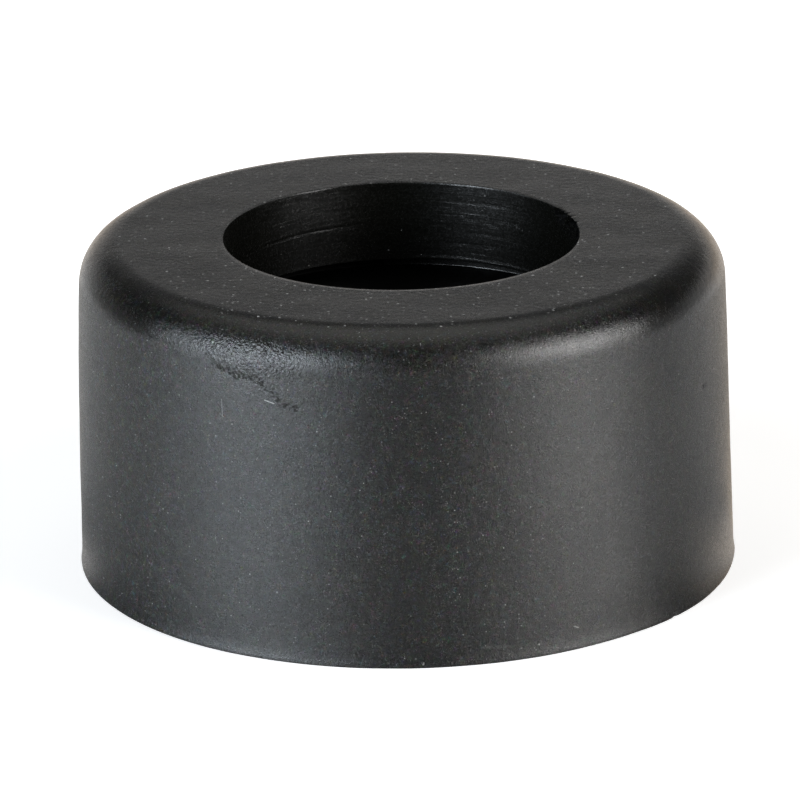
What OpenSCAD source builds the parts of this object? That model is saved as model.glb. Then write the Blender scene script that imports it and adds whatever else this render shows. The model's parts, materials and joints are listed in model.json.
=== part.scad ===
// Rubber foot: one solid moulding of black rubber, screwed on through its middle.
// The wide end lies on z = 0 and the recess for the screw's head opens upwards.
// The origin is the centre of the base, and all sizes are in millimetres.

/* [Body] */
// Diameter of the moulded wall at the base, without the flash
base_d = 40; // [36:0.5:60]
// Height from the base to the contact face around the recess
height = 20.4; // [17:0.1:32]
// Draft of the straight stretch of the wall above the base, in degrees
draft_angle = 0.35; // [0:0.05:3]
// Height at which the straight stretch ends and the wall starts to curve inwards
crown_start = 6; // [2:0.5:9]
// Radius of that shallow curve, which makes the wall look slightly barrelled
crown_r = 330; // [120:10:600]
// Radius of the shoulder between the wall and the contact face
shoulder_r = 2.6; // [1:0.1:3.5]

/* [Flash] */
// How far the flash at the base stands out from the wall
flash_proud = 0.1; // [0.05:0.05:0.5]
// Height at which the wall starts to flare out into the flash
flash_h = 0.85; // [0.4:0.05:1.8]
// Height of the flash's straight edge, where the moulding was trimmed
flash_edge_h = 0.35; // [0.05:0.05:0.35]

/* [Recess] */
// Diameter of the turned recess in the contact face
recess_d = 21.7; // [12:0.1:26]
// Depth of the recess's straight turned wall
recess_wall_h = 5; // [2:0.1:8]
// How far the washer's groove at the foot of that wall is cut back behind it
groove_reach = 1.3; // [0.3:0.1:2.5]
// Height of that groove, above the recess's floor
groove_h = 0.8; // [0.4:0.1:2]

/* [Fixing hole] */
// Diameter of the screw's hole, from the recess's floor to the base
screw_hole_d = 5.5; // [3:0.1:9]

/* [Hidden] */
$fn = 180;
// Steps in a full turn of the crown's large circle, each about 0.4 mm long
crown_fn = 5400;
// How far a cutting tool runs past the face that it breaks through
overcut = 1;

base_r = base_d / 2;
recess_floor_z = height - recess_wall_h - groove_h;

// The crown's arc is tangent to the straight stretch at its foot
crown_foot = [base_r - crown_start * tan(draft_angle), crown_start];
crown_centre = crown_foot - crown_r * [cos(draft_angle), sin(draft_angle)];

// The shoulder's arc touches the crown's arc from inside, and the contact face
shoulder_z = height - shoulder_r;
shoulder_lean = asin((shoulder_z - crown_centre.y) / (crown_r - shoulder_r));
lean = [cos(shoulder_lean), sin(shoulder_lean)];
shoulder_centre = crown_centre + (crown_r - shoulder_r) * lean;
shoulder_foot = crown_centre + crown_r * lean;

// The part of the crown's circle between the straight stretch and the shoulder
module crown_slice() {
    intersection() {
        translate(crown_centre)
            circle(r = crown_r, $fn = crown_fn);
        translate([shoulder_centre.x, crown_start])
            square([base_r, shoulder_foot.y - crown_start]);
    }
}

// The part of the shoulder's circle between the crown and the contact face
module shoulder_slice() {
    reach = 2 * shoulder_r;
    intersection() {
        translate(shoulder_centre)
            circle(r = shoulder_r);
        polygon([
            shoulder_centre,
            shoulder_centre + reach * lean,
            shoulder_centre + [reach, reach],
            shoulder_centre + [0, reach]
        ]);
    }
}

// Half of the moulding's section, from the axis outwards: x is the radius and y the height
module moulded_section() {
    polygon([
        [0, 0],
        [base_r, 0],
        crown_foot,
        shoulder_foot,
        [shoulder_centre.x, height],
        [0, height]
    ]);
    crown_slice();
    shoulder_slice();
    flash_section();
}

// The thin lip that the parting of the mould left round the base
module flash_section() {
    root_x = base_r - flash_h * tan(draft_angle);
    edge_x = base_r + flash_proud;
    polygon([
        [shoulder_centre.x, 0],
        [edge_x, 0],
        [edge_x, flash_edge_h],
        [root_x, flash_h],
        [shoulder_centre.x, flash_h]
    ]);
}

// The recess as it was bored: a straight wall, open upwards, over an undercut groove
module recess() {
    translate([0, 0, height - recess_wall_h])
        cylinder(d = recess_d, h = recess_wall_h + overcut);
    translate([0, 0, recess_floor_z])
        cylinder(d = recess_d + 2 * groove_reach, h = groove_h);
}

// The screw's hole, all the way from the recess's floor to the base
module screw_hole() {
    translate([0, 0, -overcut])
        cylinder(d = screw_hole_d, h = recess_floor_z + 2 * overcut);
}

module foot() {
    color("#2b2c2e")
        difference() {
            rotate_extrude()
                moulded_section();
            recess();
            screw_hole();
        }
}

foot();
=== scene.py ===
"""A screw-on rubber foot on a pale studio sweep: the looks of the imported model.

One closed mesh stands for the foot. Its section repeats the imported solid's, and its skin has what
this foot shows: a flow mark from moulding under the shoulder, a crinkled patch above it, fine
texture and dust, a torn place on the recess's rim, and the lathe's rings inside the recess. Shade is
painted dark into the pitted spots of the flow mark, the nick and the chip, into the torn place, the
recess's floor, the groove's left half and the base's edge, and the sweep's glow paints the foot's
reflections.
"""

import json
import math

import bpy
import numpy as np
from mathutils import Matrix, Vector, noise


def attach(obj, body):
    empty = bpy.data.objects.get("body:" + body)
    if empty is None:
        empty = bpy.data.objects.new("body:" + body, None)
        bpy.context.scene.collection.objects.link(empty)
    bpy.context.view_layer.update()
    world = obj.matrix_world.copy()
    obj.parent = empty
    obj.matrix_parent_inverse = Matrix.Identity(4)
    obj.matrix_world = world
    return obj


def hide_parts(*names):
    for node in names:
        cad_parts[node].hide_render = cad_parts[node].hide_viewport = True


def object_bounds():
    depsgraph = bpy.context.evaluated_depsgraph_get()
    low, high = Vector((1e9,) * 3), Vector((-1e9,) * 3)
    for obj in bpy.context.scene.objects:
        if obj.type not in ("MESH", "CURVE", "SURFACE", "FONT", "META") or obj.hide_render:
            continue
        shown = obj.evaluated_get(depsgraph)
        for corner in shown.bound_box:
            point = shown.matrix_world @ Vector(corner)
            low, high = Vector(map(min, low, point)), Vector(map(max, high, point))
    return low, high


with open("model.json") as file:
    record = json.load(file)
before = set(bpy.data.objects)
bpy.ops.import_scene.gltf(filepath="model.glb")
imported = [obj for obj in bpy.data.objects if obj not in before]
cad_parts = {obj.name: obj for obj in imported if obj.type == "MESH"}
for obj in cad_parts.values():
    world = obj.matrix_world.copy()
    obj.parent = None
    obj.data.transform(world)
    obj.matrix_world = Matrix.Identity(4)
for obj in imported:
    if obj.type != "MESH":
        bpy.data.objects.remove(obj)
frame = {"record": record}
cad_low, cad_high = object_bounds()

MM = 0.001

# Sizes of the foot in millimetres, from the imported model's box and mounts
MOUNTS = {m["name"]: m["dims"] for m in frame["record"]["mounts"] if m["dims"]}
HEIGHT = cad_high.z / MM
FLASH_R = cad_high.x / MM
RECESS_R = MOUNTS["screw_recess"]["r_mm"]
RECESS_WALL = MOUNTS["screw_recess"]["length_mm"]
HOLE_R = MOUNTS["screw_hole"]["r_mm"]
FLOOR_Z = MOUNTS["screw_hole"]["length_mm"]

# Sizes in millimetres that the record doesn't give, as in the part's source
FLASH_PROUD = 0.1
DRAFT = math.radians(0.35)
CROWN_START = 6.0
CROWN_R = 330.0
SHOULDER_R = 2.6
GROOVE_REACH = 1.3
BASE_R = FLASH_R - FLASH_PROUD
LIP_Z = HEIGHT - RECESS_WALL

# Finer sizes in millimetres: how the flash flares, and the rounding of the section's edges
FLASH_TOP = 1.2
FLASH_FADE = 0.45
FLASH_CURVE = 1.5
BASE_BREAK = 0.10
BASE_BREAK_H = 0.05
RIM_BREAK = 0.008
GROOVE_FILLET = 0.08

# Sizes of the marks in millimetres: how far they stand proud or reach in, and how wide they are
PUCKER_H = 0.012
CREASE_DEPTH = 0.012
FLOW_WANDER = 0.10
FLOW_WIDTH = 0.125
SECOND_FLOW_WIDTH = 0.08
SECOND_FLOW_GAP = 0.22
SPREAD = 0.22
RING_H = 0.003
TOOL_LINE_WIDTH = 0.08
LIP_BURR = 0.035
TEAR_DEPTH = 0.33
TEAR_BELOW_RIM = 1.4
SEEN_TEAR = 0.01

# Places are azimuths in degrees, 0 at the front and positive to the right, and heights in millimetres.
# A stretch is where it starts and ends and, if it has a third number, the width of the fade at either end.
CRINKLED = (-36, -22, 7)
LESS_CRINKLED = (-47, -36, 5)
CRINKLES_GROW = (17.2, 18.0)
CRINKLES_END = (19.0, 19.8)
STREAKED = (-14, 3, 6)
STREAKED_HEIGHTS = (14.0, 17.0, 1.0)
SHINY_SIDES = (40, 56)
SHINY_HEIGHTS = (18.5, 20.1, 0.5)
DUSTY_FRONT = (-75, 20, 22)
DUSTY_LEFT = (-84, -48, 10)
DUSTY_TOP = (-45, 45, 30)
DUSTY_RIM = (-80, 80, 30)
SPREAD_SIDE = (65, 110, 35)
SPREAD_TOP = 11.0
TORN = (97, 116, 3)
# The stretch of the groove that is painted in shade
SHADE_PAINTED_GROOVE = (-176, 0)
STREAK_SLOPE = math.radians(50)
FLOW_LINE = [
    (-35.8, 18.15), (-34.6, 17.85), (-31.5, 17.44), (-29.1, 17.20), (-25.9, 17.20), (-24.3, 16.92),
    (-22.7, 16.70), (-21.8, 16.28), (-21.4, 15.98), (-20.0, 15.95), (-18.4, 15.80),
]

# The nick in the wall and the chip in the base's edge: a place, a size across and upwards, and a depth
HOLLOWS = [((64.4, 13.25), (0.3, 0.12), 0.08), ((52.5, 0.05), (0.2, 0.2), 0.06)]

# Lines that the tool cut deeper in the recess: a middle and a reach in degrees from the back,
# positive to the left, a distance below the contact face and a depth, in millimetres
TOOL_LINES = [(37, 22, 2.7, 0.011), (-17, 8, 3.9, 0.010), (-27, 8, 1.1, 0.012), (-30, 5, 3.1, 0.010)]
TOOL_LINE_FADE = 5
TOOL_LINE_SLANT = 0.004
BURRED = (-45, -6, 6)

# Fibres and crumbs that stick to the wall: two places, a radius in millimetres and a lightness
LINT = [
    ((-32.6, 15.75), (-32.4, 14.75), 0.022, 0.12),
    ((-32.9, 14.85), (-32.2, 14.70), 0.028, 0.08),
    ((-24.2, 16.12), (-22.5, 15.98), 0.030, 0.28),
    ((-34.3, 7.25), (-34.0, 6.75), 0.018, 0.10),
    ((29.4, 1.50), (30.3, 1.35), 0.028, 0.25),
    ((12.6, 1.05), (17.4, 0.95), 0.085, 0.025),
]

# The mesh's rows and columns are closer together at the base and at fine marks: above a height
# on the wall, round the longest tool line in the recess, and in (from, to, step) stretches in degrees
FLASH_CROWDING = 1.8
FINE_FROM = 13.0
FINE_BAND = (HEIGHT - 2.4, HEIGHT - 2.95)
COARSE_STEP = 1.3
DENSE_STEPS = [(-44.0, 2.0, 0.34), (51.0, 54.0, 0.45), (62.5, 66.5, 0.45), (95.0, 120.0, 0.6)]

# The foot's materials in order: the moulded finish, the turned finish, and painted shade, a near-black
# rubber that hardly reflects
MOULDED, TURNED, PAINTED_SHADE = range(3)


def smooth(value, low, high):
    """0 below low, 1 above high, and an even curve between them."""
    t = np.clip((value - low) / (high - low), 0, 1)
    return t * t * (3 - 2 * t)


def window(value, low, high, edge):
    """1 from low to high, fading to 0 over the edge on either side."""
    return smooth(value, low - edge, low) * (1 - smooth(value, high, high + edge))


def bell(distance, width):
    """1 at no distance, about a third at that width, and 0 far away."""
    return np.exp(-((distance / width) ** 2))


def ripple(points, length, shift=0.0):
    """Smooth noise from -1 to 1 at each point, with features about that length across."""
    flat = ((points + shift) / length).reshape(-1, 3).tolist()
    return np.array([noise.noise(p) for p in flat]).reshape(points.shape[:-1])


def unit(angle):
    """The direction of an angle, counted from the radius upwards."""
    return np.array([math.cos(angle), math.sin(angle)])


def line(start, end, steps):
    """Points from start up to, but not including, end."""
    t = np.arange(steps)[:, None] / steps
    return np.array(start) * (1 - t) + np.array(end) * t


def arc(centre, radius, start, end, steps):
    """Points on an arc from one angle up to, but not including, the other."""
    angles = start + (end - start) * np.arange(steps) / steps
    return np.array(centre) + radius * np.stack([np.cos(angles), np.sin(angles)], 1)


def flash(steps):
    """The wall's foot, which flares out to the edge that the mould's parting left."""
    height = FLASH_TOP * (np.arange(steps) / steps) ** FLASH_CROWDING
    flare = FLASH_PROUD * np.exp(-((height / FLASH_FADE) ** FLASH_CURVE))
    radius = BASE_R - height * math.tan(DRAFT) + flare - BASE_BREAK * bell(height, BASE_BREAK_H)
    return np.stack([radius, height], 1)


def section():
    """The foot's closed section as zones of (radius, height), from the edge of its base upwards."""
    crown_foot = np.array([BASE_R - CROWN_START * math.tan(DRAFT), CROWN_START])
    crown_centre = crown_foot - CROWN_R * unit(DRAFT)
    lean = math.asin((HEIGHT - SHOULDER_R - crown_centre[1]) / (CROWN_R - SHOULDER_R))
    shoulder_centre = crown_centre + (CROWN_R - SHOULDER_R) * unit(lean)
    fine_angle = math.asin((FINE_FROM - crown_centre[1]) / CROWN_R)
    flash_root = (BASE_R - FLASH_TOP * math.tan(DRAFT), FLASH_TOP)
    groove_r = RECESS_R + GROOVE_REACH
    rim = (RECESS_R + RIM_BREAK, HEIGHT - RIM_BREAK)
    fillet = (groove_r - GROOVE_FILLET, FLOOR_Z + GROOVE_FILLET)
    band_top, band_foot = FINE_BAND
    up = math.pi / 2
    return [
        ("skin", flash(10)),
        ("skin", line(flash_root, crown_foot, 16)),
        ("skin", arc(crown_centre, CROWN_R, DRAFT, fine_angle, 24)),
        ("skin", arc(crown_centre, CROWN_R, fine_angle, lean, 48)),
        ("skin", arc(shoulder_centre, SHOULDER_R, lean, up, 40)),
        ("skin", line((shoulder_centre[0], HEIGHT), (rim[0], HEIGHT), 18)),
        ("rim", arc(rim, RIM_BREAK, up, 2 * up, 3)),
        ("bore", line((RECESS_R, rim[1]), (RECESS_R, band_top), 20)),
        ("bore", line((RECESS_R, band_top), (RECESS_R, band_foot), 11)),
        ("bore", line((RECESS_R, band_foot), (RECESS_R, LIP_Z), 23)),
        ("groove", line((RECESS_R, LIP_Z), (groove_r, LIP_Z), 3)),
        ("groove", line((groove_r, LIP_Z), (groove_r, fillet[1]), 3)),
        ("groove", arc(fillet, GROOVE_FILLET, 0, -up, 6)),
        ("floor", line((fillet[0], FLOOR_Z), (HOLE_R, FLOOR_Z), 5)),
        ("floor", line((HOLE_R, FLOOR_Z), (HOLE_R, 0), 4)),
        ("base", line((HOLE_R, 0), (FLASH_R - BASE_BREAK, 0), 5)),
    ]


def azimuths():
    """The mesh's columns, in degrees, closer together where the surface has a fine mark."""
    angles = []
    angle = -180.0
    while angle < 180.0 - COARSE_STEP / 2:
        angles.append(angle)
        steps = [step for low, high, step in DENSE_STEPS if low <= angle < high]
        angle += min(steps + [COARSE_STEP])
    return np.array(angles)


def outward(profile):
    """The normal of a closed profile at each of its points, pointing out of the material."""
    along = np.roll(profile, -1, 0) - np.roll(profile, 1, 0)
    normal = np.stack([along[:, 1], -along[:, 0]], 1)
    return normal / np.linalg.norm(normal, axis=1)[:, None]


def corners(profile, least_turn=math.radians(35)):
    """Which of the profile's points are sharp corners."""
    ahead = np.roll(profile, -1, 0) - profile
    behind = profile - np.roll(profile, 1, 0)
    turn = (ahead * behind).sum(1) / np.linalg.norm(ahead, axis=1) / np.linalg.norm(behind, axis=1)
    return turn < math.cos(least_turn)


def distance_to_path(u, v, path):
    """How far each point (u, v) lies from a path of straight stretches."""
    nearest = np.full(u.shape, np.inf)
    for (u0, v0), (u1, v1) in zip(path, path[1:]):
        du, dv = u1 - u0, v1 - v0
        t = np.clip(((u - u0) * du + (v - v0) * dv) / (du * du + dv * dv), 0, 1)
        nearest = np.minimum(nearest, np.hypot(u - u0 - t * du, v - v0 - t * dv))
    return nearest


def dent(azimuth, height, place, size):
    """1 in the middle of a small hollow in the wall, with a size across and along the axis."""
    across = np.radians(azimuth - place[0]) * BASE_R / size[0]
    along = (height - place[1]) / size[1]
    return np.exp(-(across**2) - along**2)


def flow_mark(azimuth, height, points):
    """How near each point lies to the ragged line where two fronts of rubber met in the mould."""
    path = [(math.radians(a) * BASE_R, z) for a, z in FLOW_LINE]
    second_path = [(across, z + SECOND_FLOW_GAP) for across, z in path[2:6]]
    across = np.radians(azimuth) * BASE_R + FLOW_WANDER * ripple(points, 0.5)
    along = height + FLOW_WANDER * ripple(points, 0.45, shift=7.0)
    first = 1.1 * bell(distance_to_path(across, along, path), FLOW_WIDTH)
    second = 0.9 * bell(distance_to_path(across, along, second_path), SECOND_FLOW_WIDTH)
    return np.maximum(first, second)


def crease(azimuth, height, points):
    """How broken the skin is: along the flow mark, and in the nick and the chip, where the rubber's
    material also paints shade into the pitted spots.
    """
    hollows = sum(dent(azimuth, height, place, size) for place, size, _ in HOLLOWS)
    return np.maximum(flow_mark(azimuth, height, points), hollows)


def crinkle(azimuth, height):
    """How puckered the skin is: the patch on the shoulder above the flow mark."""
    line_z = np.interp(azimuth, [p[0] for p in FLOW_LINE], [p[1] for p in FLOW_LINE])
    above = smooth(height - line_z, -0.1, 0.5) * (1 - smooth(height, *CRINKLES_END))
    strong = 0.3 + 0.7 * smooth(height, *CRINKLES_GROW)
    patch = np.maximum(window(azimuth, *CRINKLED), 0.4 * window(azimuth, *LESS_CRINKLED))
    return patch * above * strong


def polish(azimuth, height, crinkled):
    """How much smoother the skin is than elsewhere: at the sides of the shoulder, and on top."""
    sides = 0.30 + 0.70 * smooth(np.abs(azimuth), *SHINY_SIDES)
    shoulder = sides * window(height, *SHINY_HEIGHTS) * (1 - 0.8 * crinkled)
    return np.maximum(shoulder, 0.55 * smooth(height, HEIGHT - 0.3, HEIGHT - 0.05))


def drag(azimuth, height):
    """How streaked the skin is: below the shoulder, where the rubber slid along the mould."""
    return window(azimuth, *STREAKED) * window(height, *STREAKED_HEIGHTS)


def dustiness(azimuth, points):
    """How thick the dust lies: thickest on the left of the front and round the recess's rim."""
    radius = np.hypot(points[..., 0], points[..., 1])
    near_rim = np.exp(-(radius - RECESS_R) / 1.2) * window(azimuth, *DUSTY_RIM)
    wall = 0.5 + 0.45 * window(azimuth, *DUSTY_FRONT) + 0.7 * window(azimuth, *DUSTY_LEFT)
    top = 0.35 + 0.25 * window(azimuth, *DUSTY_TOP) + 0.5 * near_rim
    level = wall + (top - wall) * smooth(points[..., 2], HEIGHT - 0.8, HEIGHT - 0.1)
    return np.clip(level + 0.3 * ripple(points, 6.0), 0.1, 1.4)


def skin_marks(zone, azimuth, height, points):
    """What the moulded skin's material reads at each point of the mesh."""
    skin = (zone == "skin")[:, None]
    marks = {
        "crease": crease(azimuth, height, points) * skin,
        "crinkle": crinkle(azimuth, height) * skin,
        "drag": drag(azimuth, height) * skin,
        "dust": dustiness(azimuth, points),
    }
    marks["polish"] = polish(azimuth, height, marks["crinkle"]) * skin
    return marks


def skin_relief(azimuth, height, points, marks):
    """How far the moulded skin stands proud of its true form."""
    waves = 0.012 * ripple(points, 2.2) + 0.02 * ripple(points, 5.5)
    pucker = np.abs(ripple(points, 0.34)) + 0.6 * ripple(points, 0.21, shift=3.0)
    hollows = sum(depth * dent(azimuth, height, place, size) for place, size, depth in HOLLOWS)
    spread = SPREAD * window(azimuth, *SPREAD_SIDE) * (1 - smooth(height, 0.0, SPREAD_TOP))
    return waves + spread + PUCKER_H * marks["crinkle"] * pucker - CREASE_DEPTH * marks["crease"] - hollows


def tool_line(back, below, middle, reach, depth, cut):
    """How deep one of the tool's lines is cut, with a slight slant, at places counted from the back."""
    slanted = depth + TOOL_LINE_SLANT * (back - middle)
    stretch = window(back, middle - reach, middle + reach, TOOL_LINE_FADE)
    return cut * stretch * bell(below - slanted, TOOL_LINE_WIDTH)


def bore_relief(azimuth, height, points):
    """The rings that the tool left in the recess's wall, a few deeper lines, and a burr on its lip."""
    stretched = points * np.array([0.12, 0.12, 1.0])
    rings = RING_H * ripple(stretched, 0.3)
    back = (np.abs(azimuth) - 180) * np.where(azimuth > 0, 1, -1)
    below = HEIGHT - height
    lines = sum(tool_line(back, below, *values) for values in TOOL_LINES)
    burr = LIP_BURR * smooth(below, RECESS_WALL - 0.25, RECESS_WALL - 0.02) * window(back, *BURRED)
    return rings - lines + burr


def torn_rim(azimuth, height, points):
    """How far the recess's rim is torn back into the contact face, on its right side."""
    ragged = np.maximum(ripple(points, 0.22) + 0.5 * ripple(points, 0.1, shift=5.0), 0)
    depth = np.minimum(0.75 * window(azimuth, *TORN) * ragged, TEAR_DEPTH)
    return depth * smooth(height, HEIGHT - TEAR_BELOW_RIM, HEIGHT - 0.2)


def spun(radius, height, angles):
    """Points round the axis: a row for each point of the section and a column for each azimuth."""
    direction = np.stack([np.sin(np.radians(angles)), -np.cos(np.radians(angles))], 1)
    return np.concatenate([radius[..., None] * direction, height[..., None]], 2)


def finishes_and_shade(profile, zone, azimuth, tear):
    """The finish of the face that starts at each point of the mesh, or painted shade where the face gets
    little light: the recess's floor and hole, the base's edge, the groove's left half and the torn rim.
    """
    cut = np.isin(zone, ["rim", "bore", "groove"])[:, None]
    base_edge = (zone == "skin") & (profile[:, 1] < BASE_BREAK_H)
    shade_painted = ((zone == "floor") | base_edge)[:, None]
    start, end = SHADE_PAINTED_GROOVE
    shade_painted = shade_painted | ((zone == "groove")[:, None] & (azimuth > start) & (azimuth < end))
    return np.where(shade_painted | (tear > SEEN_TEAR), PAINTED_SHADE, np.where(cut, TURNED, MOULDED))


def closed_grid(name, points):
    """A smooth mesh over rows and columns of points, joined up with itself both ways."""
    rows, columns = points.shape[:2]
    row = np.arange(rows)[:, None]
    column = np.arange(columns)[None, :]
    next_row, next_column = (row + 1) % rows, (column + 1) % columns
    faces = np.stack([
        row * columns + column,
        row * columns + next_column,
        next_row * columns + next_column,
        next_row * columns + column,
    ], 2).reshape(-1, 4)
    mesh = bpy.data.meshes.new(name)
    mesh.from_pydata((points.reshape(-1, 3) * MM).tolist(), [], faces.tolist())
    mesh.polygons.foreach_set("use_smooth", np.ones(len(faces), bool))
    return mesh


def sharpen(mesh, sharp_rows, columns):
    """Sharp shading along the mesh's rows that are corners of the section."""
    ends = np.zeros(2 * len(mesh.edges), np.int32)
    mesh.edges.foreach_get("vertices", ends)
    end_rows = (ends // columns).reshape(-1, 2)
    sharp = (end_rows[:, 0] == end_rows[:, 1]) & sharp_rows[end_rows[:, 0]]
    mesh.attributes.new("sharp_edge", "BOOLEAN", "EDGE").data.foreach_set("value", sharp)


def build_foot():
    """The foot as one closed mesh, with its marks as attributes, and its two kinds of finish and its
    painted shade as material slots.
    """
    zones = section()
    profile = np.concatenate([points for _, points in zones])
    zone = np.array([name for name, points in zones for _ in points])
    angles = azimuths()
    shape = (len(profile), len(angles))
    azimuth = np.broadcast_to(angles, shape)
    height = np.broadcast_to(profile[:, 1:], shape)
    points = spun(profile[:, :1], height, angles)

    marks = skin_marks(zone, azimuth, height, points)
    on_skin = skin_relief(azimuth, height, points, marks) * (zone == "skin")[:, None]
    on_bore = bore_relief(azimuth, height, points) * (zone == "bore")[:, None]
    relief = outward(profile)[:, None, :] * (on_skin + on_bore)[..., None]
    tear = torn_rim(azimuth, height, points) * np.isin(zone, ["rim", "bore"])[:, None]
    radius = profile[:, :1] + relief[..., 0] + tear
    above_floor = np.maximum(height + relief[..., 1], 0)

    mesh = closed_grid("rubber_foot", spun(radius, above_floor, angles))
    # Each face's finish, or painted shade where it gets little light
    finish = finishes_and_shade(profile, zone, azimuth, tear)
    mesh.polygons.foreach_set("material_index", finish.ravel().astype(np.int32))
    sharpen(mesh, corners(profile), len(angles))
    for name, values in marks.items():
        attribute = mesh.attributes.new(name, "FLOAT", "POINT")
        attribute.data.foreach_set("value", values.ravel().astype(np.float32))
    mesh.update()
    piece = bpy.data.objects.new("rubber_foot", mesh)
    bpy.context.scene.collection.objects.link(piece)
    return piece


class Graph:
    """A material under construction: each method adds nodes and returns the socket that they end in."""

    def __init__(self, name):
        self.material = bpy.data.materials.new(name)
        self.material.use_nodes = True
        self.tree = self.material.node_tree
        self.tree.nodes.clear()

    def node(self, kind, inputs, **settings):
        """A new node itself, with its settings, its values and its links."""
        made = self.tree.nodes.new("ShaderNode" + kind)
        for name, value in settings.items():
            setattr(made, name, value)
        for name, value in inputs.items():
            if isinstance(value, bpy.types.NodeSocket):
                self.tree.links.new(value, made.inputs[name])
            else:
                made.inputs[name].default_value = value
        return made

    def math(self, operation, a, b=0.0, clamp=False):
        return self.node("Math", {0: a, 1: b}, operation=operation, use_clamp=clamp).outputs[0]

    def clamp(self, value):
        """The value, held between 0 and 1."""
        return self.math("ADD", value, 0.0, clamp=True)

    def add(self, *values):
        total = values[0]
        for value in values[1:]:
            total = self.math("ADD", total, value)
        return total

    def times(self, *values):
        product = values[0]
        for value in values[1:]:
            product = self.math("MULTIPLY", product, value)
        return product

    def remap(self, value, low, high, to_low=0.0, to_high=1.0):
        """An even change from to_low to to_high while the value goes from low to high."""
        inputs = {"Value": value, "From Min": low, "From Max": high, "To Min": to_low, "To Max": to_high}
        return self.node("MapRange", inputs).outputs[0]

    def mix(self, factor, a, b):
        """The colour a where the factor is 0, and b where it is 1."""
        return self.node("Mix", {0: factor, 6: a, 7: b}, data_type="RGBA").outputs[2]

    def vector(self, operation, a, b=(0, 0, 0)):
        """The node of a calculation with two vectors."""
        return self.node("VectorMath", {0: a, 1: b}, operation=operation)

    def split(self, vector):
        """The vector's x, y and z."""
        return self.node("SeparateXYZ", {"Vector": vector}).outputs

    def attribute(self, name):
        return self.node("Attribute", {}, attribute_name=name).outputs["Fac"]

    def position(self):
        """Object coordinates in millimetres."""
        place = self.node("TexCoord", {}).outputs["Object"]
        return self.vector("MULTIPLY", place, (1 / MM, 1 / MM, 1 / MM)).outputs[0]

    def unrolled(self):
        """The way round the wall from the front, and the height, both in millimetres."""
        x, y, z = self.split(self.position())
        angle = self.math("ARCTAN2", x, self.math("MULTIPLY", y, -1.0))
        return self.node("CombineXYZ", {"X": self.math("MULTIPLY", angle, BASE_R), "Y": z}).outputs[0]

    def grain(self, per_mm, detail=2.0, place=None):
        """Noise around 0.5 with that many features to a millimetre."""
        place = place or self.position()
        return self.node("TexNoise", {"Vector": place, "Scale": per_mm, "Detail": detail}).outputs["Fac"]

    def mottle(self, per_mm, detail, to_low=0.0, to_high=1.0):
        """The same noise, spread over a range of its own."""
        return self.remap(self.grain(per_mm, detail), 0.3, 0.7, to_low, to_high)

    def cells(self, per_mm):
        """The outputs of a pattern of irregular cells, that many to a millimetre."""
        return self.node("TexVoronoi", {"Vector": self.position(), "Scale": per_mm}).outputs

    def specks(self, per_mm, radius, share, top):
        """Round specks of that radius in millimetres, in that share of the cells, most of them faint."""
        cells = self.cells(per_mm)
        chance, light = self.node("SeparateColor", {"Color": cells["Color"]}).outputs[:2]
        present = self.math("GREATER_THAN", share, chance)
        inside = self.math("SUBTRACT", radius * per_mm, cells["Distance"])
        disc = self.math("MULTIPLY", inside, 4.0 / (radius * per_mm), clamp=True)
        return self.times(disc, present, self.math("POWER", light, 2.5), top)

    def fibre(self, place, start, end, radius):
        """1 within that radius of a straight fibre on the unrolled wall, in millimetres."""
        along = end - start
        from_start = self.vector("SUBTRACT", place, start).outputs[0]
        reach = self.vector("DOT_PRODUCT", from_start, along / along.length_squared).outputs["Value"]
        share = self.clamp(reach)
        nearest = self.node("VectorMath", {0: along, "Scale": share}, operation="SCALE").outputs[0]
        away = self.vector("DISTANCE", from_start, nearest).outputs["Value"]
        return self.math("LESS_THAN", away, radius)

    def bump(self, relief, distance=MM):
        """The normal over a relief in units of that distance, in metres."""
        return self.node("Bump", {"Height": relief, "Distance": distance, "Strength": 1.0}).outputs[0]

    def finish(self, shader):
        self.node("OutputMaterial", {"Surface": shader.outputs[0]})
        return self.material


# Linear colours of each finish of the rubber and of its painted shade, each between two tones, and of what
# lies on and in them; the colour in the pitted spots is painted shade
MOULDED_TONES = ((0.0026, 0.0028, 0.0030, 1), (0.0044, 0.0040, 0.0028, 1))
TURNED_TONES = ((0.0005, 0.0006, 0.0002, 1), (0.0012, 0.0013, 0.0006, 1))
PAINTED_SHADE_TONES = ((0.0002, 0.0002, 0.0002, 1), (0.0007, 0.0007, 0.0006, 1))
DUST_COLOUR = (1.0, 0.99, 0.96, 1)
PAINTED_PIT_SHADE = (0.001, 0.001, 0.001, 1)
SHEEN_TINT = (1.0, 0.97, 0.94, 1)

# The film's hue is noise times the first, plus the second
FILM_SPREAD = (0.32, 0.32, 0.32)
FILM_SHIFT = (-0.068, -0.066, -0.068)

# How much of the grain and the dust is left where the skin is polished
POLISHED_SHARE = 0.35


def dust_and_lint(g, dust, polished, top):
    """The dust's own lightness at each point: 0 where there is none."""
    dust = g.times(dust, g.math("MAXIMUM", g.remap(polished, 0.0, 1.0, 1.0, POLISHED_SHARE), top))
    total = g.add(
        g.specks(8.0, 0.034, g.times(dust, 0.9), 0.11),
        g.specks(3.4, 0.045, g.times(dust, 0.8), g.times(dust, 0.27)),
        g.specks(1.3, 0.065, g.times(dust, 0.25), g.times(dust, 0.25)),
        g.specks(3.2, 0.080, g.times(dust, top, 0.8), 0.48),
    )
    place = g.unrolled()
    for start, end, radius, light in LINT:
        start, end = (Vector((math.radians(azimuth) * BASE_R, z, 0)) for azimuth, z in (start, end))
        total = g.add(total, g.times(g.fibre(place, start, end, radius), light))
    return total


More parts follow.
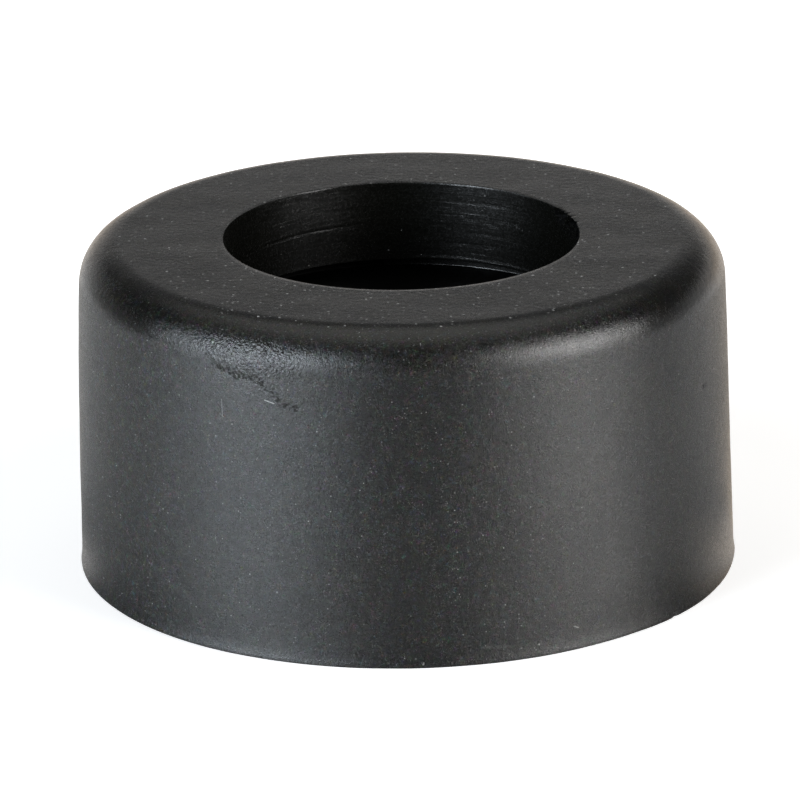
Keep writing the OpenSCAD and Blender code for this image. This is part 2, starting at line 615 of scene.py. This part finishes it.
def film(g, grit_light, dust, rougher):
    """How far a thin film of pale dust covers the rubber: in patches, and grain by grain."""
    patchy = g.times(g.mottle(0.9, 2, 0.3, 1.0), g.mottle(3.5, 2, 0.2, 1.5), dust)
    return g.clamp(g.times(g.math("POWER", grit_light, 3.0), patchy, rougher, 0.42))


def film_hue(g):
    """The film's colour, which varies a little from place to place."""
    hues = g.node("TexNoise", {"Vector": g.position(), "Scale": 3.0, "Detail": 2.0}).outputs["Color"]
    inputs = {0: hues, 1: FILM_SPREAD, 2: FILM_SHIFT}
    return g.node("VectorMath", inputs, operation="MULTIPLY_ADD").outputs[0]


def drag_lines(g, per_mm):
    """Slanting lines on the wall, at that scale."""
    inputs = {"Vector": g.unrolled(), "Angle": -STREAK_SLOPE}
    turned = g.node("VectorRotate", inputs, rotation_type="Z_AXIS").outputs[0]
    return g.grain(per_mm, 2, g.vector("MULTIPLY", turned, (1.1, 9.0, 1.0)).outputs[0])


def moulded_relief(g, dust, rougher, top, crinkled, dragged, cells, pits_and_shade):
    """The fine texture of the moulded skin, in millimetres."""
    fine = g.times(g.remap(dust, 0.0, 1.0, 0.010, 0.032), rougher, g.remap(top, 0.0, 1.0, 1.0, 0.4))
    return g.add(
        g.times(g.grain(15.0, 1), fine),
        g.times(g.grain(2.6, 3), 0.016),
        g.times(crinkled, g.add(g.times(g.grain(5.6, 1), 0.040), g.times(cells, -0.03))),
        g.times(dragged, g.add(g.times(drag_lines(g, 1.0), 0.013), g.times(drag_lines(g, 0.35), 0.010))),
        g.times(pits_and_shade, -0.07),
    )


def moulded_rubber():
    """Black rubber as it left the mould: a fine grain, soft mottling and a thin coat of pale dust, with
    painted shade in the pitted spots of its creases.
    """
    g = Graph("moulded_rubber")
    marks = ("dust", "crease", "crinkle", "drag", "polish")
    dust, creased, crinkled, dragged, polished = (g.attribute(name) for name in marks)
    rougher = g.remap(polished, 0.0, 1.0, 1.0, POLISHED_SHARE)
    x, _, z = g.split(g.position())
    top = g.remap(z, HEIGHT - 0.15, HEIGHT - 0.03)
    speckled = g.clamp(dust_and_lint(g, dust, polished, top))
    # On the contact face this value is set by the distance from the middle instead, rising towards the
    # face's left and right ends, so the film and grain are heavier there
    dust = g.remap(top, 0.0, 1.0, dust, g.remap(g.times(x, x), 40.0, 200.0, 0.36, 0.50))
    grit_light, grit_gloss, _ = g.node("SeparateColor", {"Color": g.cells(13.0)["Color"]}).outputs
    cells = g.cells(5.2)["Distance"]
    pits_and_shade = g.times(creased, g.remap(cells, 0.30, 0.48, 1.0, 0.0))

    colour = g.mix(g.remap(g.grain(0.45, 3), 0.35, 0.65), *MOULDED_TONES)
    colour = g.mix(film(g, grit_light, dust, rougher), colour, film_hue(g))
    # Painted shade: the pitted spots along the flow mark, the nick and the chip are darkened towards near
    # black
    colour = g.mix(g.clamp(g.times(pits_and_shade, 0.9)), colour, PAINTED_PIT_SHADE)
    colour = g.mix(speckled, colour, DUST_COLOUR)
    rough = g.add(g.mottle(1.3, 2, 0.26, 0.31), g.remap(grit_gloss, 0.0, 1.0, -0.05, 0.05))
    marked = g.add(g.times(pits_and_shade, 0.6), g.times(crinkled, -0.05), g.times(polished, -0.05))
    relief = moulded_relief(g, dust, rougher, top, crinkled, dragged, cells, pits_and_shade)
    return g.finish(g.node("BsdfPrincipled", {
        "Base Color": colour, "Roughness": g.clamp(g.add(rough, marked)), "Normal": g.bump(relief),
        "Specular IOR Level": 0.6, "Sheen Weight": 0.08, "Sheen Roughness": 0.4, "Sheen Tint": SHEEN_TINT,
    }))


def turned_rings(g, x, y, across, per_mm, around):
    """Grain drawn out round the axis, with that many rings to a millimetre."""
    place = {"X": g.times(x, around), "Y": g.times(y, around), "Z": g.times(across, per_mm)}
    return g.grain(1.0, 2, g.node("CombineXYZ", place).outputs[0])


def turned_rubber():
    """The same rubber where it was bored out: darker, with fine rings and a few specks of dust."""
    g = Graph("turned_rubber")
    x, y, z = g.split(g.position())
    radius = g.math("SQRT", g.add(g.times(x, x), g.times(y, y)))
    across = g.add(radius, z)
    cuts = turned_rings(g, x, y, across, 11.0, 0.12)
    scratches = turned_rings(g, x, y, across, 50.0, 0.42)
    dust = g.clamp(g.add(g.specks(2.4, 0.04, 0.2, 0.25), g.specks(0.6, 0.06, 0.2, 0.35)))
    colour = g.mix(dust, g.mix(g.remap(cuts, 0.3, 0.7), *TURNED_TONES), DUST_COLOUR)
    relief = g.add(g.times(cuts, 0.0040), g.times(scratches, 0.0064), g.times(g.grain(17, 1), 0.004))
    return g.finish(g.node("BsdfPrincipled", {
        "Base Color": colour, "Roughness": g.mottle(6.0, 2, 0.22, 0.29), "Normal": g.bump(relief),
        "Specular IOR Level": 0.9,
    }))


def painted_shade_rubber():
    """Painted shade, a near-black rubber that hardly reflects, where hardly any light gets in: the
    recess's floor and torn rim, the hole, the base's edge and the groove's left half.
    """
    g = Graph("painted_shade_rubber")
    cloudy = g.mottle(3.0, 3)
    return g.finish(g.node("BsdfPrincipled", {
        "Base Color": g.mix(cloudy, *PAINTED_SHADE_TONES), "Roughness": g.remap(cloudy, 0.0, 1.0, 0.5, 0.65),
        "Normal": g.bump(g.grain(9.0, 2), 0.01 * MM), "Specular IOR Level": 0.05,
    }))


# The photograph's view, fitted to the foot's outline: millimetres and degrees, and a lens in millimetres
CAMERA_PLACE = (-0.235, -336.447, 126.254)
CAMERA_ELEVATION = 19.0974
CAMERA_ROLL = -0.9082
LENS = 261.0
SENSOR_WIDTH = 36.0


def camera():
    """The camera, in front of the foot and a little above it, with a long lens and a slight roll."""
    elevation, roll = math.radians(CAMERA_ELEVATION), math.radians(CAMERA_ROLL)
    forward = Vector((0, math.cos(elevation), -math.sin(elevation)))
    right = Vector((1, 0, 0))
    up = right.cross(forward)
    turned_right = right * math.cos(roll) + up * math.sin(roll)
    turned_up = up * math.cos(roll) - right * math.sin(roll)
    data = bpy.data.cameras.new("camera")
    data.lens = LENS
    data.sensor_width = SENSOR_WIDTH
    data.clip_start = 0.01
    view = bpy.data.objects.new("camera", data)
    turn = Matrix((turned_right, turned_up, -forward)).transposed()
    view.matrix_world = Matrix.Translation(Vector(CAMERA_PLACE) * MM) @ turn.to_4x4()
    bpy.context.scene.collection.objects.link(view)
    bpy.context.scene.camera = view


# The lamps: azimuth and elevation in degrees, distance and size in metres, radiance, and colour
COOL = (0.84, 0.92, 1.0)
SOFTBOXES = {
    "left": (-56.5, 17, 0.7, (0.55, 0.30), 9.6, COOL),
    "left_core": (-46, 17, 0.7, (0.20, 0.28), 4.8, COOL),
    "right": (62, 18, 0.7, (0.47, 0.33), 9.7, (1.0, 0.99, 0.98)),
    "ceiling": (180, 77, 1.1, (1.15, 1.15), 0.70, (1.0, 1.0, 0.95)),
}
AIM = Vector((0, 0, 0.012))


def softbox(name, azimuth, elevation, distance, size, radiance, colour):
    """A rectangular lamp that faces the foot. A radiance of 1 is as bright as a white background."""
    data = bpy.data.lights.new(name, "AREA")
    data.shape = "RECTANGLE"
    data.size, data.size_y = size
    data.energy = radiance * math.pi * size[0] * size[1]
    data.color = colour
    lamp = bpy.data.objects.new(name, data)
    a, e = math.radians(azimuth), math.radians(elevation)
    direction = Vector((math.sin(a) * math.cos(e), -math.cos(a) * math.cos(e), math.sin(e)))
    lamp.location = direction * distance + AIM
    lamp.rotation_mode = "QUATERNION"
    lamp.rotation_quaternion = direction.to_track_quat("Z", "Y")
    bpy.context.scene.collection.objects.link(lamp)


# The sweep: a round floor that curves up into a low rim all round, in metres
SWEEP_FLOOR_R = 2.2
SWEEP_CURVE_R = 0.3
SWEEP_CURVE_STEPS = 8
SWEEP_RIM_H = 0.6
SWEEP_SIDES = 96


def sweep_mesh():
    """The sweep as rings round a middle point."""
    profile = [(SWEEP_FLOOR_R, 0.0)]
    for step in range(1, SWEEP_CURVE_STEPS + 1):
        turn = math.pi / 2 * step / SWEEP_CURVE_STEPS
        radius = SWEEP_FLOOR_R + SWEEP_CURVE_R * math.sin(turn)
        profile.append((radius, SWEEP_CURVE_R * (1 - math.cos(turn))))
    profile.append((SWEEP_FLOOR_R + SWEEP_CURVE_R, SWEEP_RIM_H))
    verts = [(0, 0, 0)]
    for radius, z in profile:
        for side in range(SWEEP_SIDES):
            angle = 2 * math.pi * side / SWEEP_SIDES
            verts.append((radius * math.cos(angle), radius * math.sin(angle), z))
    faces = [(0, 1 + side, 1 + (side + 1) % SWEEP_SIDES) for side in range(SWEEP_SIDES)]
    for ring in range(len(profile) - 1):
        low, high = 1 + ring * SWEEP_SIDES, 1 + (ring + 1) * SWEEP_SIDES
        for side in range(SWEEP_SIDES):
            following = (side + 1) % SWEEP_SIDES
            faces.append((low + side, high + side, high + following, low + following))
    mesh = bpy.data.meshes.new("sweep")
    mesh.from_pydata(verts, [], faces)
    mesh.polygons.foreach_set("use_smooth", [True] * len(faces))
    return mesh


# How far the sheet is lifted towards white: for the camera, and in reflections of it behind the foot,
# where the glow paints reflections on the foot's walls
SEEN_LIFT = 0.58
MIRRORED_LIFT = 0.52
# The glow's colours: plain, and a peach tint close to the foot, which paints a peach reflection on the
# foot's lower edges
PLAIN_GLOW = (1.0, 0.99, 0.985, 1)
WARM_GLOW = (1.0, 0.80, 0.60, 1)

# Places on the sheet are in metres: here the foot's edge, and the wall's side a little farther in
EDGE_R = FLASH_R * MM
SIDE_X = EDGE_R - 0.6 * MM


def sheet_colour_and_painted_shade(g, across, y, out):
    """Painted shade on the sheet, for reflections and bounced light: its lightness is darker close to the
    foot, and least so straight in front of it.
    """
    in_front = g.remap(across, 0.004, 0.014, 0.62, 0.22)
    beside = g.remap(y, -0.014, -0.008, 0.22, 0.45)
    return g.remap(out, 0.020, 0.034, g.math("MAXIMUM", in_front, beside), 0.75)


def painted_reflection_glow(g, x, y, z, out, past_side):
    """Painted reflections: how the sheet glows behind the foot, to light the foot's walls in reflection:
    less at its sides and on the left, more at the horizon.
    """
    rising = g.times(g.remap(y, -0.05, 0.10), g.remap(out, 0.019, 0.034))
    beside = g.remap(g.math("DIVIDE", y, out), 0.3, 0.8, 1.0, 0.0)
    dimmed = g.times(g.remap(out, 0.1, 0.6), g.remap(beside, 0.0, 1.0, 0.3, 0.95))
    left = g.times(g.remap(out, 0.03, 0.25), g.remap(g.math("DIVIDE", x, out), -0.75, -0.35, 0.8, 0.0))
    far_left = g.times(g.remap(out, 0.2, 0.6), g.remap(x, -0.1, 0.0, 0.25, 0.0))
    kept = g.math("SUBTRACT", 1.0, g.math("MAXIMUM", left, far_left))
    near = g.remap(out, 0.15, 0.4, 1.0, 0.0)
    fringe = g.times(g.remap(past_side, 0.15, 0.55, 1.0, 0.0), g.remap(y, 0.0, 0.004), near)
    horizon = g.times(g.remap(out, 1.2, 2.0), g.remap(z, 0.2, 0.85, 0.4, 0.0))
    brighter = g.add(1.0, g.times(fringe, 0.3), horizon)
    return g.times(rising, g.math("SUBTRACT", 1.0, dimmed), kept, brighter)


def white_sheet():
    """White acrylic sheet, lifted towards white as if it was lit from behind; in reflections its glow is
    painted light, shaped round the foot and tinted peach close to it.
    """
    g = Graph("white_sheet")
    path = g.node("LightPath", {}).outputs
    x, y, z = g.split(g.node("NewGeometry", {}).outputs["Position"])
    out = g.math("SQRT", g.add(g.times(x, x), g.times(y, y)))
    across = g.math("ABSOLUTE", x)
    past_side = g.math("DIVIDE", g.math("SUBTRACT", across, SIDE_X), g.math("MAXIMUM", y, 0.001))

    def sided(left, right):
        """One value on the foot's left and another on its right."""
        return g.remap(x, -0.01, 0.01, left, right)

    # Painted reflection: a glow on the sheet close round the foot's sides and back, which lights the
    # foot's lower walls and edges in reflection
    grazing = g.remap(g.math("SUBTRACT", sided(0.5, 0.95), past_side), 0.0, 0.35)
    close_by = g.remap(g.math("SUBTRACT", sided(0.0238, 0.0268), out), 0.0, 0.003)
    close_by = g.math("MAXIMUM", close_by, g.times(grazing, g.remap(out, 0.022, 0.039, 1.0, 0.0)))
    outside = g.remap(out, EDGE_R - 0.2 * MM, EDGE_R + 0.1 * MM)
    foot_glow = g.times(g.remap(y, sided(-0.006, -0.010), -0.002), outside, close_by)
    behind = g.add(painted_reflection_glow(g, x, y, z, out, past_side), g.times(foot_glow, sided(0.95, 1.4)))

    mirrored = g.math("MAXIMUM", path["Is Glossy Ray"], path["Is Transmission Ray"])
    ground = g.remap(out, 0.03, 0.09, SEEN_LIFT, 1.0)
    strength = g.add(g.times(path["Is Camera Ray"], ground), g.times(mirrored, behind, MIRRORED_LIFT))
    # Painted reflection: a peach tint in the glow close to the foot, for the foot's lower edges
    near_foot = g.math("MAXIMUM", grazing, g.times(foot_glow, sided(0.2, 0.6)))
    painted_peach_share = g.times(near_foot, mirrored, g.remap(z, 0.1, 0.4, 1.0, 0.0))
    lift = g.node("Emission", {"Color": g.mix(painted_peach_share, PLAIN_GLOW, WARM_GLOW), "Strength": strength})

    plain = g.node("BsdfDiffuse", {"Color": (0.85, 0.85, 0.85, 1)})
    # Painted shade: the sheet's colour in reflections and bounced light is darker close to the foot
    white = sheet_colour_and_painted_shade(g, across, y, out)
    glossy = g.node("BsdfPrincipled", {"Base Color": white, "Roughness": 0.12, "IOR": 2.0})
    seen = g.node("MixShader", {0: path["Is Camera Ray"], 1: glossy.outputs[0], 2: plain.outputs[0]})
    return g.finish(g.node("AddShader", {0: seen.outputs[0], 1: lift.outputs[0]}))


def room():
    """A dark room round the sweep."""
    world = bpy.data.worlds.new("room")
    world.use_nodes = True
    world.node_tree.nodes["Background"].inputs["Color"].default_value = (0.01, 0.01, 0.01, 1)
    bpy.context.scene.world = world


foot = build_foot()
for material in (moulded_rubber(), turned_rubber(), painted_shade_rubber()):
    foot.data.materials.append(material)
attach(foot, "root")
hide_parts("foot")

camera()
floor = bpy.data.objects.new("sweep", sweep_mesh())
floor.data.materials.append(white_sheet())
bpy.context.scene.collection.objects.link(floor)
room()
for name, values in SOFTBOXES.items():
    softbox(name, *values)

bpy.context.scene.view_settings.view_transform = "Standard"
